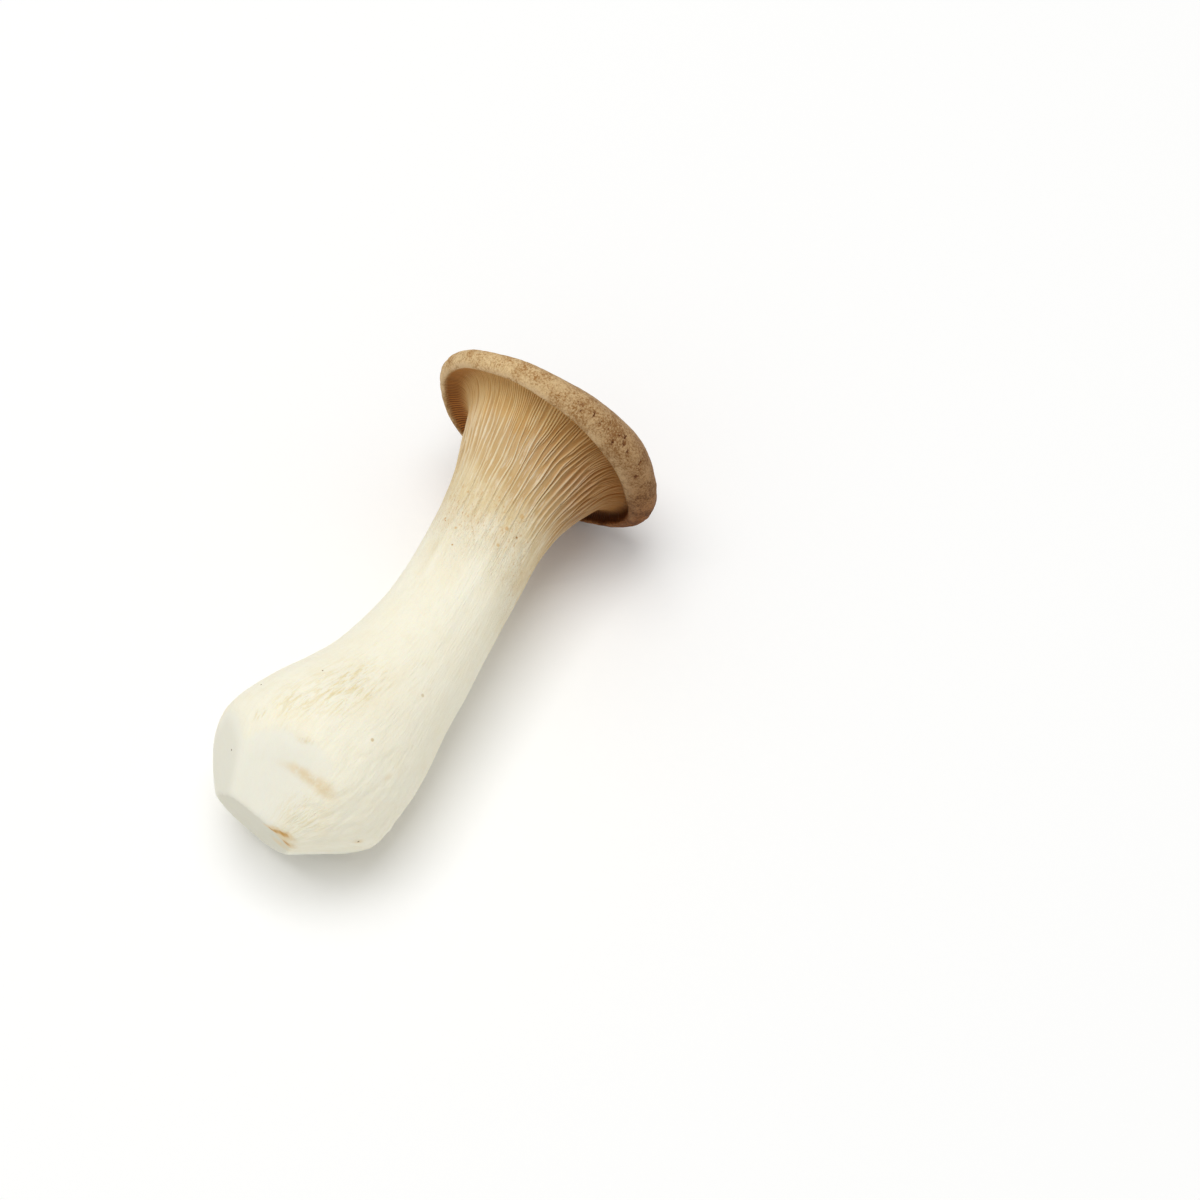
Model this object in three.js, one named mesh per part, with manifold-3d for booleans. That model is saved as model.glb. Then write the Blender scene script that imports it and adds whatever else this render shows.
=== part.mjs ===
// A king oyster mushroom, grown in one piece and lying on its side.
// Millimetres, +Z up. The origin is on the surface that the mushroom lies on, under the
// middle of its box. The stem runs along +X, from its trimmed base to the crown of the cap.
// Until it is laid down, the mushroom is drawn on a straight axis along +X, on which a
// "station" is the distance from the trimmed end.
import * as THREE from "three";
import { mergeVertices } from "three/addons/utils/BufferGeometryUtils.js";
import Module from "manifold-3d";

// Driving dimensions.
const STEM = [
  [-5, 0], [-4, 8], [0, 16.8], [7, 21.8], [14, 24.1], [20, 24.2], [29, 22.4], [38, 19.5],
  [47, 16.9], [59, 15.1], [71, 14.0], [84, 13.9], [93, 14.1],
]; // [station, radius] of the stem's outline, before its base is trimmed
const FUNNEL = [[101, 15.2], [107, 16.9], [113, 19.0], [118, 21.3]]; // gills, up to the hollow
const HOLLOW = [[121, 24.2], [121.4, 26.2]]; // the groove behind the rolled edge
const EDGE = [[120.3, 27.6], [119.2, 28.4], [119.8, 29.8], [122.2, 31.1], [125.2, 30.4]];
const CROWN = [[128, 26], [130.6, 19], [132.3, 10], [133, 0]];
const BOW = { depth: 5.2, from: 16, to: 119, skew: 0.79 }; // the stem's sideways curve
const FLOOR_DEPTH = 21.0; // how far the resting surface is below the axis at the trimmed end
const PITCH = THREE.MathUtils.degToRad(4.5); // how much the axis rises towards the cap
const AROUND = 60; // faces round the axis
const ALONG = 58; // faces along the outline

// The knife cuts that trim the base. A cut's face looks away from the cap, tipped by
// `slope` towards the direction `side` round the axis (degrees, 0 is +Y, 90 is up), and
// `depth` is how far it passes from the middle of the trimmed end.
const TRIMS = [
  { side: 330, slope: 7, depth: 2 },
  { side: 98, slope: 48, depth: 8.3 },
  { side: 40, slope: 58, depth: 13 },
  { side: 140, slope: 44, depth: 11 },
  { side: 205, slope: 40, depth: 7 },
  { side: 250, slope: 42, depth: 9 },
  { side: 300, slope: 46, depth: 10.4 },
  { side: 345, slope: 52, depth: 12.7 },
];
const CUTTER_SIZE = 400; // the side of the block that a cut takes away

const wasm = await Module();
wasm.setup();

// How far to the -Y side the mushroom's middle is: a skewed hump along the stem.
function sidewaysAt(station) {
  const share = THREE.MathUtils.clamp((station - BOW.from) / (BOW.to - BOW.from), 0, 1);
  return BOW.depth * Math.sin(Math.PI * share ** BOW.skew) ** 2;
}

// A closed geometry as a solid that can be cut.
function solidOf(geometry) {
  const bare = geometry.clone();
  bare.deleteAttribute("normal");
  bare.deleteAttribute("uv");
  const merged = mergeVertices(bare);
  return new wasm.Manifold(
    new wasm.Mesh({
      numProp: 3,
      vertProperties: merged.getAttribute("position").array,
      triVerts: new Uint32Array(merged.index.array),
    }),
  );
}

// A solid as a geometry again.
function geometryOf(solid) {
  const mesh = solid.getMesh();
  const geometry = new THREE.BufferGeometry();
  geometry.setAttribute("position", new THREE.BufferAttribute(mesh.vertProperties, 3));
  geometry.setIndex(new THREE.BufferAttribute(mesh.triVerts, 1));
  geometry.computeVertexNormals();
  return geometry;
}

// The untrimmed mushroom: its outline turned about the axis, then bent to the side.
function grownMushroom() {
  const outline = [...STEM, ...FUNNEL, ...HOLLOW, ...EDGE, ...CROWN];
  const corners = outline.map(([station, radius]) => new THREE.Vector3(radius, station, 0));
  const curve = new THREE.CatmullRomCurve3(corners, false, "centripetal");
  const profile = curve.getPoints(ALONG).map((point) => new THREE.Vector2(point.x, point.y));
  const body = new THREE.LatheGeometry(profile, AROUND);
  body.rotateZ(-Math.PI / 2);
  const position = body.getAttribute("position");
  for (let i = 0; i < position.count; i += 1) {
    position.setY(i, position.getY(i) - sidewaysAt(position.getX(i)));
  }
  return solidOf(body);
}

// The block that lies beyond a plane through `point` whose face looks along `normal`.
function blockBeyond(point, normal) {
  const block = new THREE.BoxGeometry(CUTTER_SIZE, CUTTER_SIZE, CUTTER_SIZE);
  block.translate(0, 0, CUTTER_SIZE / 2);
  const turn = new THREE.Quaternion().setFromUnitVectors(new THREE.Vector3(0, 0, 1), normal);
  block.applyQuaternion(turn);
  block.translate(...point.toArray());
  return solidOf(block);
}

// The block that one knife cut takes away from the base.
function trimmingBlock({ side, slope, depth }) {
  const around = THREE.MathUtils.degToRad(side);
  const tipped = THREE.MathUtils.degToRad(slope);
  const normal = new THREE.Vector3(
    -Math.cos(tipped),
    Math.sin(tipped) * Math.cos(around),
    Math.sin(tipped) * Math.sin(around),
  );
  return blockBeyond(normal.clone().multiplyScalar(depth), normal);
}

// Lays the mushroom down, flattens what presses on the surface and centres it.
function laidDown(solid) {
  const geometry = geometryOf(solid);
  geometry.rotateY(-PITCH);
  geometry.translate(0, 0, FLOOR_DEPTH);
  const down = new THREE.Vector3(0, 0, -1);
  const rested = geometryOf(solidOf(geometry).subtract(blockBeyond(new THREE.Vector3(), down)));
  rested.computeBoundingBox();
  const middle = rested.boundingBox.getCenter(new THREE.Vector3());
  rested.translate(-middle.x, -middle.y, 0);
  return rested;
}

const trimmed = TRIMS.reduce((solid, trim) => solid.subtract(trimmingBlock(trim)), grownMushroom());

const mushroom = new THREE.Mesh(
  laidDown(trimmed),
  new THREE.MeshStandardMaterial({ color: 0xf1ead6, roughness: 0.75, metalness: 0 }),
);
mushroom.name = "king_oyster_mushroom";

const group = new THREE.Group();
group.add(mushroom);

export default group;
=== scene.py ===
"""A king oyster mushroom, picked and lying on its side on a pale table.

The mushroom is one grown body, so it is one closed skin. Every point of that skin has two
coordinates: its turn round the stem, and its path along the outline from the trimmed base,
over the edge of the cap, to the crown. The skin is shaped on a straight axis along X in
millimetres, then bent, trimmed, laid down and scaled to metres.
"""

import logging
import math
from dataclasses import dataclass, field
from enum import Enum
from functools import reduce
from typing import Sequence

import bpy
import numpy as np
from mathutils import Matrix, Vector


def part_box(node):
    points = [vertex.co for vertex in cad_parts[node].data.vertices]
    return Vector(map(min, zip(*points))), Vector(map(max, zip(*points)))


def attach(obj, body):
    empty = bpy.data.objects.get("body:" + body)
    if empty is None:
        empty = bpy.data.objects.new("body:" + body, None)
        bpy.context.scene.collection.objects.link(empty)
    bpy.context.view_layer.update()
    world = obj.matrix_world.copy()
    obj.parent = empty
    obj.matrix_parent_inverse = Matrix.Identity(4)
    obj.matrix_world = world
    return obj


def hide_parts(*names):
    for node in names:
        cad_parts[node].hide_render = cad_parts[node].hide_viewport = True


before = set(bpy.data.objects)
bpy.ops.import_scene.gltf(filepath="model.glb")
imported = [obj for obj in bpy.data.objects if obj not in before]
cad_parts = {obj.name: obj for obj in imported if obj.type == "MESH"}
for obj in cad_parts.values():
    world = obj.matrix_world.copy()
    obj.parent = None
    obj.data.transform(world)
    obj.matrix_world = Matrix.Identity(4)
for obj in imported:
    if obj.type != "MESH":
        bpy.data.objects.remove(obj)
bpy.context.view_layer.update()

log = logging.getLogger("king_oyster")
Array = np.ndarray
Pair = tuple[float, float]
Triple = tuple[float, float, float]
Socket = bpy.types.NodeSocket

MILLIMETRE = 0.001
NODE = "king_oyster_mushroom"
BODY = "root"
FULL_TURN = 2.0 * math.pi


# Plain mathematics.


def smooth_step(low: float, high: float, value: Array) -> Array:
    """A smooth rise from 0 at low to 1 at high, or a fall if high is below low.

    Args:
        low: Where the result leaves 0.
        high: Where the result reaches 1.
        value: Any array.

    Returns:
        3t^2 - 2t^3, where t is the share of the way from low to high, held in 0 to 1.
    """
    share = np.clip((value - low) / (high - low), 0.0, 1.0)
    return share * share * (3.0 - 2.0 * share)


def soft_least(first: Array, second: Array, blend: Array | float) -> Array:
    """The smaller of two arrays, with the crease between them rounded.

    Args:
        first: One array.
        second: The other array.
        blend: How far apart the two are where the rounding begins.

    Returns:
        The smaller value, less blend * h(1 - h), where h is each one's share of the blend.
    """
    share = np.clip(0.5 + 0.5 * (second - first) / blend, 0.0, 1.0)
    return second + (first - second) * share - blend * share * (1.0 - share)


def lattice_noise(seed: int, across: Array, period: int, along: Array) -> Array:
    """Smooth random hills on a sheet that closes on itself in one direction.

    Args:
        seed: Picks the hills.
        across: Place in the closed direction, in cells.
        period: How many cells the closed direction has.
        along: Place in the open direction, in cells.

    Returns:
        Values from -1 to 1: the random values of the four cell corners round a place,
        eased between with 3t^2 - 2t^3.
    """
    rows = 64
    corners = np.random.default_rng(seed).uniform(-1.0, 1.0, (period, rows))
    column, row = np.floor(across).astype(int), np.floor(along).astype(int)
    u = smooth_step(0.0, 1.0, across - column)
    v = smooth_step(0.0, 1.0, along - row)

    def corner(i: int, j: int) -> Array:
        """The random value at one corner of each place's cell."""
        return corners[(column + i) % period, (row + j) % rows]

    low = corner(0, 0) * (1 - u) + corner(1, 0) * u
    high = corner(0, 1) * (1 - u) + corner(1, 1) * u
    return low * (1 - v) + high * v


def solid_noise(seed: int, places: Array) -> Array:
    """Smooth random lumps that fill space, one lump or so per unit of length.

    Args:
        seed: Picks the lumps.
        places: An array of n rows of x, y, z.

    Returns:
        n values, mostly from -0.7 to 0.7: at each corner of the unit cube round a place
        stands a random slope, and the eight slopes' heights are eased together.
    """
    size = 32
    slopes = np.random.default_rng(seed).normal(size=(size, size, size, 3))
    slopes /= np.linalg.norm(slopes, axis=3, keepdims=True)
    cell = np.floor(places).astype(int)
    part = places - cell
    eased = part**3 * (part * (part * 6.0 - 15.0) + 10.0)
    total = np.zeros(len(places))
    for corner in np.ndindex(2, 2, 2):
        at = (cell + corner) % size
        slope = slopes[at[:, 0], at[:, 1], at[:, 2]]
        height = np.sum(slope * (part - corner), axis=1)
        share = np.where(np.array(corner) == 1, eased, 1.0 - eased)
        total += height * np.prod(share, axis=1)
    return total


@dataclass(frozen=True)
class Lumps:
    """Random lumps that fill space.

    Attributes:
        seed: Picks the lumps.
        size: How long a lump is along each axis, in mm.
        height: How high the lumps are, in mm.
        layers: How many layers there are, each half the size and height of the last.
    """

    seed: int
    size: Triple
    height: float
    layers: int = 1

    def at(self, places: Array) -> Array:
        """The lumps at some places.

        Args:
            places: n rows of x, y, z in mm.

        Returns:
            n heights: the solid noise of each layer, added and times the height.
        """
        total = np.zeros(len(places))
        for layer in range(self.layers):
            finer = 2.0**layer
            total += solid_noise(self.seed + layer, places / self.size * finer) / finer
        return self.height * total


def linear_colour(colour: Triple) -> tuple[float, float, float, float]:
    """A screen colour as light, by the standard screen curve.

    Args:
        colour: Red, green and blue from 0 to 255.

    Returns:
        The linear colour with an alpha of 1.
    """
    screen = np.array(colour) / 255.0
    light = np.where(screen <= 0.04045, screen / 12.92, ((screen + 0.055) / 1.055) ** 2.4)
    return (*light.tolist(), 1.0)


# The outline.


class Landmark(Enum):
    """Places on the outline, in order from the base to the crown."""

    BASE = 0
    BULB = 1
    GILL_END = 2
    MIDDLE_OF_FUNNEL = 3
    HOLLOW = 4
    LIP = 5
    WIDEST = 6
    SHOULDER = 7
    CROWN = 8


@dataclass
class Outline:
    """Half of the mushroom's section, as stations along the axis and radii, in mm.

    The points run from the base's pole to the crown's. Between them the curve is a
    centripetal Catmull-Rom one: a cubic through each pair of points, whose slope at a
    point follows from its two neighbours.
    """

    bulb: tuple[Pair, ...] = (
        (-5, 0), (-4, 8), (0, 16.8), (7, 21.8), (14, 24.1), (20, 24.2), (29, 22.4),
    )
    stem: tuple[Pair, ...] = ((38, 19.5), (47, 16.9), (59, 15.1), (71, 14.0), (84, 13.9), (93, 14.1))
    funnel: tuple[Pair, ...] = ((101, 15.2), (107, 16.9), (113, 19.0), (118, 21.3))
    hollow: tuple[Pair, ...] = ((121, 24.2), (121.4, 26.2))
    edge: tuple[Pair, ...] = (
        (120.3, 27.6), (119.2, 28.4), (119.8, 29.8), (122.2, 31.1), (125.2, 30.4),
    )
    crown: tuple[Pair, ...] = ((128, 26), (130.6, 19), (132.3, 10), (133, 0))
    steps: int = 40

    station: Array = field(init=False)
    radius: Array = field(init=False)
    path: Array = field(init=False)
    marks: dict[Landmark, float] = field(init=False)

    def __post_init__(self) -> None:
        """Works out the dense curve and the path to each landmark."""
        groups = (self.bulb, self.stem, self.funnel, self.hollow, self.edge, self.crown)
        points = np.array([point for group in groups for point in group], float)
        self.station, self.radius = self.through(points).T
        run = np.hypot(np.diff(self.station), np.diff(self.radius))
        self.path = np.concatenate([[0.0], np.cumsum(run)])
        _, stem, funnel, hollow, edge, crown, end = np.cumsum([0] + [len(group) for group in groups])
        order = {
            Landmark.BASE: 0,
            Landmark.BULB: stem - 1,
            Landmark.GILL_END: funnel - 2,
            Landmark.MIDDLE_OF_FUNNEL: funnel + 1,
            Landmark.HOLLOW: hollow + 1,
            Landmark.LIP: edge + 1,
            Landmark.WIDEST: edge + 3,
            Landmark.SHOULDER: crown,
            Landmark.CROWN: end - 1,
        }
        self.marks = {mark: self.path[at * self.steps] for mark, at in order.items()}

    def through(self, points: Array) -> Array:
        """A dense curve through points.

        Args:
            points: n rows of station and radius.

        Returns:
            (n - 1) * steps + 1 rows. Each span is the cubic (2t^3 - 3t^2 + 1) a +
            (t^3 - 2t^2 + t) s + (3t^2 - 2t^3) b + (t^3 - t^2) e, with its ends a and b
            and its slopes s and e.
        """
        first, last = 2 * points[0] - points[1], 2 * points[-1] - points[-2]
        wide = np.vstack([first, points, last])
        gap = np.sqrt(np.linalg.norm(np.diff(wide, axis=0), axis=1))[:, None]
        rise = np.diff(wide, axis=0) / gap
        over = (wide[2:] - wide[:-2]) / (gap[:-1] + gap[1:])
        slope = rise[:-1] - over + rise[1:]
        t = np.linspace(0.0, 1.0, self.steps, endpoint=False)[None, :, None]
        a, b = points[:-1, None], points[1:, None]
        reach = gap[1:-1][:, None]
        start, end = slope[:-1, None] * reach, slope[1:, None] * reach
        dense = (2 * t**3 - 3 * t**2 + 1) * a + (t**3 - 2 * t**2 + t) * start
        dense = dense + (3 * t**2 - 2 * t**3) * b + (t**3 - t**2) * end
        return np.vstack([dense.reshape(-1, 2), points[-1:]])

    def at(self, path: Array) -> tuple[Array, Array, Array, Array]:
        """The outline's place and outward direction at each path.

        Args:
            path: Distances along the outline from the base's pole.

        Returns:
            Stations, radii, and the outward normal's parts along the axis and away
            from it.
        """
        along = np.gradient(self.station, self.path)
        away = np.gradient(self.radius, self.path)
        size = np.hypot(along, away)
        values = (self.station, self.radius, -away / size, along / size)
        return tuple(np.interp(path, self.path, value) for value in values)


# The skin's grid.


@dataclass(frozen=True)
class Band:
    """A stretch of the outline whose rings all have the same number of points."""

    start: float
    end: float
    rings: int
    columns: int


class Skin:
    """A closed skin of rings round the axis, with a pole at each end.

    Attributes:
        path: Each point's distance along the outline.
        turn: Each point's share of a full turn round the axis, from 0 to 1.
        quads: Four points per face.
        triangles: Three points per face.
    """

    def __init__(self, bands: Sequence[Band], end: float) -> None:
        """Lays the rings and joins each to the next.

        Args:
            bands: The stretches, from the base to the crown.
            end: The crown's path.
        """
        paths = [
            np.linspace(band.start, band.end, band.rings, endpoint=False)
            for band in bands
        ]
        ring_path = np.concatenate(paths)
        counts = np.repeat([band.columns for band in bands], [band.rings for band in bands])
        starts = 1 + np.concatenate([[0], np.cumsum(counts)])
        last = starts[-1]
        inside = np.arange(last - 1) - np.repeat(starts[:-1] - 1, counts)
        self.path = np.concatenate([[0.0], np.repeat(ring_path, counts), [end]])
        self.turn = np.concatenate([[0.0], inside / np.repeat(counts, counts), [0.0]])
        quads, triangles = [], [self.fan(0, starts[0], counts[0], outwards=False)]
        for at in range(len(counts) - 1):
            low, high = (starts[at], counts[at]), (starts[at + 1], counts[at + 1])
            if counts[at] == counts[at + 1]:
                quads.append(self.strip(low, high))
            elif counts[at] > counts[at + 1]:
                triangles.append(self.gathered(low, high))
            else:
                triangles.append(self.gathered(high, low)[:, ::-1])
        triangles.append(self.fan(last, starts[-2], counts[-1], outwards=True))
        self.quads = np.vstack(quads)
        self.triangles = np.vstack(triangles)

    @staticmethod
    def fan(pole: int, start: int, count: int, outwards: bool) -> Array:
        """Triangles from a pole to a ring.

        Args:
            pole: The pole's point.
            start: The ring's first point.
            count: How many points the ring has.
            outwards: True at the crown, False at the base.

        Returns:
            One row of three points per triangle.
        """
        near = start + np.arange(count)
        far = start + (np.arange(count) + 1) % count
        ends = (near, far) if outwards else (far, near)
        return np.column_stack([np.full(count, pole), *ends])

    @staticmethod
    def strip(low: tuple[int, int], high: tuple[int, int]) -> Array:
        """Quads between two rings with as many points each.

        Args:
            low: First point and number of points of the ring nearer the base.
            high: The same of the ring nearer the crown.

        Returns:
            One row of four points per quad.
        """
        near = np.arange(low[1])
        far = (near + 1) % low[1]
        return np.column_stack([low[0] + near, low[0] + far, high[0] + far, high[0] + near])

    @staticmethod
    def gathered(fine: tuple[int, int], coarse: tuple[int, int]) -> Array:
        """Triangles between a fine ring and a coarser one nearer the crown.

        Each span of the coarse ring faces several points of the fine ring. The first
        half of these joins the span's near end, the rest its far end, and one triangle
        closes the middle.

        Args:
            fine: First point and number of points of the fine ring.
            coarse: The same of the coarse ring.

        Returns:
            One row of three points per triangle.
        """
        ratio = fine[1] // coarse[1]
        span = np.arange(coarse[1])
        near, far = coarse[0] + span, coarse[0] + (span + 1) % coarse[1]
        middle = (ratio + 1) // 2
        faces = []
        for step in range(ratio):
            here = fine[0] + (span * ratio + step) % fine[1]
            there = fine[0] + (span * ratio + step + 1) % fine[1]
            faces.append(np.column_stack([here, there, near if step < middle else far]))
        centre = fine[0] + (span * ratio + middle) % fine[1]
        faces.append(np.column_stack([centre, far, near]))
        return np.vstack(faces)

    def unrolled(self) -> Array:
        """The skin laid out flat: turns across and paths upwards, both from 0 to 1.

        Returns:
            A row of two for every corner of every face, quads first. On the faces that
            cross the seam the turns run on to 1, and a pole stands over the middle of
            each triangle that meets there.
        """
        height = self.path / self.path[-1]
        poles = (self.path == self.path[0]) | (self.path == self.path[-1])
        laid = []
        for faces in (self.quads, self.triangles):
            across = self.turn[faces]
            pole = poles[faces]
            high = np.where(pole, -1.0, across).max(axis=1, keepdims=True)
            across = np.where((high - across > 0.5) & ~pole, across + 1.0, across)
            mean = np.where(pole, 0.0, across).sum(axis=1) / (~pole).sum(axis=1)
            across = np.where(pole, mean[:, None], across)
            laid.append(np.column_stack([across.ravel(), height[faces].ravel()]))
        return np.vstack(laid)

    def mesh(self, name: str, places: Array, marks: dict[str, Array]) -> bpy.types.Mesh:
        """A Blender mesh of the skin.

        Args:
            name: The mesh's name.
            places: Each point's x, y and z, in metres.
            marks: Named values to store on the points.

        Returns:
            The mesh, smooth shaded, with its marks and a map that unrolls it.
        """
        made = bpy.data.meshes.new(name)
        corners = np.concatenate([self.quads.ravel(), self.triangles.ravel()])
        sizes = np.repeat([4, 3], [len(self.quads), len(self.triangles)])
        made.vertices.add(len(places))
        made.vertices.foreach_set("co", places.ravel())
        made.loops.add(len(corners))
        made.loops.foreach_set("vertex_index", corners)
        made.polygons.add(len(sizes))
        made.polygons.foreach_set("loop_start", np.concatenate([[0], np.cumsum(sizes)[:-1]]))
        made.update(calc_edges=True)
        made.shade_smooth()
        unrolled = made.uv_layers.new(name="OFBake")
        unrolled.uv.foreach_set("vector", self.unrolled().astype(np.float32).ravel())
        for mark, values in marks.items():
            kind = "FLOAT_VECTOR" if values.ndim == 2 else "FLOAT"
            store = made.attributes.new(mark, kind, "POINT")
            key = "vector" if values.ndim == 2 else "value"
            store.data.foreach_set(key, np.ascontiguousarray(values, np.float32).ravel())
        return made


# The cap's edge.


@dataclass(frozen=True)
class Sides:
    """Values that change round the axis.

    A table of them runs in equal steps from the mushroom's right-hand side over the side
    that looks up.

    Attributes:
        right: Which way the right-hand side looks, in degrees from +Y.
        focus: How sharply each value keeps to its own side.
    """

    right: float = 196.3
    focus: float = 8.0

    def at(self, table: Sequence[float], angle: Array) -> Array:
        """A table's value at each angle.

        Args:
            table: The values.
            angle: Angles round the axis, in radians.

        Returns:
            The mean of the values, each weighed by exp(focus * (cos(distance) - 1)).
        """
        sides = np.arange(len(table)) * FULL_TURN / len(table)
        total = np.zeros_like(angle)
        weights = np.zeros_like(angle)
        for side, value in zip(sides, table):
            distance = math.radians(self.right) - angle - side
            weight = np.exp(self.focus * (np.cos(distance) - 1.0))
            total += weight * value
            weights += weight
        return total / weights


@dataclass(frozen=True)
class Rim:
    """How the cap's edge strays from a true ring, in mm, in tables of 30 degree steps.

    Attributes:
        lip_rise: How far the lip stands towards the crown.
        lip_roll: How far the lip is rolled inwards.
        shoulder_rise: How far the cap's shoulder stands towards the crown.
        spread: How far the whole edge stands out.
        crown_share: How much of the shoulder's rise the crown's middle keeps.
        slack: How far down the funnel the lip's rise fades out.
        waves: The small waves round the edge: how many there are, where they start in
            radians, and their height.
        roll_start: How far down the funnel the lip's roll begins.
    """

    lip_rise: tuple[float, ...] = (-1.0, -1.6, -2.1, -0.8, -0.9, 1.1, 0.9, 0.5, 0.2, 0.0, -0.2, -0.4)
    lip_roll: tuple[float, ...] = (1.6, 3.2, 1.2, 0.0, -0.3, -0.7, -0.3, 0.0, 0.0, 0.0, 0.5, 1.2)
    shoulder_rise: tuple[float, ...] = (0.2, 1.0, 0.4, -0.9, -2.0, -1.5, 0.5, 0.3, 0.1, 0.0, 0.0, 0.0)
    spread: tuple[float, ...] = (0.9, -0.5, 0.8, 0.1, -0.6, 0.3, 1.3, 0.9, 0.3, 0.0, 0.0, 0.3)
    crown_share: float = 0.25
    slack: float = 14.0
    waves: tuple[Triple, ...] = ((5, 1.0, 0.16), (9, 2.0, 0.096))
    roll_start: float = 1.0


# The gills.


@dataclass(frozen=True)
class Hills:
    """Random hills on the funnel.

    Attributes:
        width: How wide a hill is, in gills.
        length: How long a hill is down the funnel, in mm.
        pick: Picks the hills.
        height: How high they are.
    """

    width: float
    length: float
    pick: int
    height: float


@dataclass(frozen=True)
class Gills:
    """Thin ridges that run from the hollow behind the lip down onto the stem.

    Long gills run all the way. Between two of them start shorter ones, which only live
    near the lip. A place on the funnel is given by its share of a full turn and by how
    far below the hollow it is, in mm.

    Attributes:
        long_gills: How many long gills there are.
        short_between: How many short ones start between two long ones.
        thickness: How thick a ridge is, in mm.
        seed: Picks all the random values.
        sides: How the tables below are read.
        below: Places down the funnel, for the depths.
        depths: How deep the gills are at those places, in mm.
        vigour: How strong they are on each side, in steps of 30 degrees.
        lengths: How far down they reach on each side, in mm.
        end_fade: Where they begin and cease to fade, before and past their length.
        bends: Sideways bends that neighbours share, in gills.
        own_bends: Sideways bends of their own, in gills.
        bend_start: Where the bends begin.
        bend_end: Where the bends end.
        paired: How many of the gills join a neighbour, as a share.
        pull: How far each of a pair moves towards the other, in gills.
        pair_start: Where pairs begin to draw together.
        swelling: How the thickness varies, as a share.
        nicks: How the ridges' height varies, as a share.
        scraps: Fine lumps on the ridges.
        short_ends: Where the short gills end.
        short_fade: How long a short gill's end is.
        short_share: A short gill's height and thickness, as a share of a long one's.
        short_pick: Picks the short gills' ends.
        shared_ends: How far the lengths vary for several gills at once, in mm.
        own_ends: How far each gill's own length varies, in mm.
    """

    long_gills: int = 72
    short_between: int = 2
    thickness: float = 0.22
    seed: int = 11
    sides: Sides = Sides()
    below: tuple[float, ...] = (-3.3, -2.7, 0.0, 2.5, 7, 13, 19, 25, 31, 38)
    depths: tuple[float, ...] = (0.0, 0.35, 0.5, 0.65, 0.92, 0.95, 0.7, 0.42, 0.22, 0.05)
    vigour: tuple[float, ...] = (1.0, 1.0, 1.0, 0.95, 0.75, 0.55, 0.6, 0.8, 0.9, 0.9, 0.9, 0.9)
    lengths: tuple[float, ...] = (34, 33, 33, 33, 31, 29, 27, 27, 28, 30, 32, 33)
    end_fade: Pair = (-11.0, 9.0)
    bends: Hills = Hills(6, 20, 1, 0.45)
    own_bends: Hills = Hills(1.5, 6, 2, 0.22)
    bend_start: Pair = (-3.0, 4.0)
    bend_end: Pair = (28.0, 46.0)
    paired: float = 0.62
    pull: float = 0.27
    pair_start: Pair = (9.0, 22.0)
    swelling: Hills = Hills(1, 6, 3, 0.3)
    nicks: Hills = Hills(1, 5, 4, 0.15)
    scraps: Hills = Hills(0.25, 6, 9, 0.12)
    short_ends: Pair = (3.0, 19.0)
    short_fade: float = 4.0
    short_share: float = 0.85
    short_pick: int = 5
    shared_ends: Hills = Hills(4, 10, 6, 4.0)
    own_ends: Hills = Hills(1, 10, 7, 3.0)

    def hills(self, kind: Hills, turn: Array, below: Array) -> Array:
        """Random hills on the funnel.

        Args:
            kind: The hills' size and height.
            turn: Share of a full turn.
            below: How far below the hollow, in mm.

        Returns:
            Values from minus to plus the height.
        """
        above = 40.0
        period = int(round(self.long_gills / kind.width))
        along = (below + above) / kind.length
        return kind.height * lattice_noise(self.seed + kind.pick, turn * period, period, along)

    def drift(self, turn: Array, below: Array) -> Array:
        """How far the gills stray sideways, as a share of a turn.

        Args:
            turn: Share of a full turn.
            below: How far below the hollow, in mm.

        Returns:
            Slow bends that neighbours share, small ones of their own, and pairs that
            draw together towards the stem, fading out where the gills end.
        """
        bends = self.hills(self.bends, turn, below) + self.hills(self.own_bends, turn, below)
        pairs = self.pairing(turn) * smooth_step(*self.pair_start, below)
        live = (1 - smooth_step(*self.bend_end, below)) * smooth_step(*self.bend_start, below)
        return (bends + pairs) * live / self.long_gills

    def pairing(self, turn: Array) -> Array:
        """How far each gill moves to join its neighbour, in gills.

        Args:
            turn: Share of a full turn.

        Returns:
            For random pairs, the pull at the first gill and minus the pull at the
            second, and straight lines between gills.
        """
        draw = np.random.default_rng(self.seed)
        moves = np.zeros(self.long_gills + 1)
        at = 0
        while at < self.long_gills - 2:
            if draw.random() < self.paired:
                moves[at], moves[at + 1] = self.pull, -self.pull
                at += 1
            at += 1
        moves[-1] = moves[0]
        return np.interp(turn * self.long_gills, np.arange(self.long_gills + 1), moves)

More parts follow.
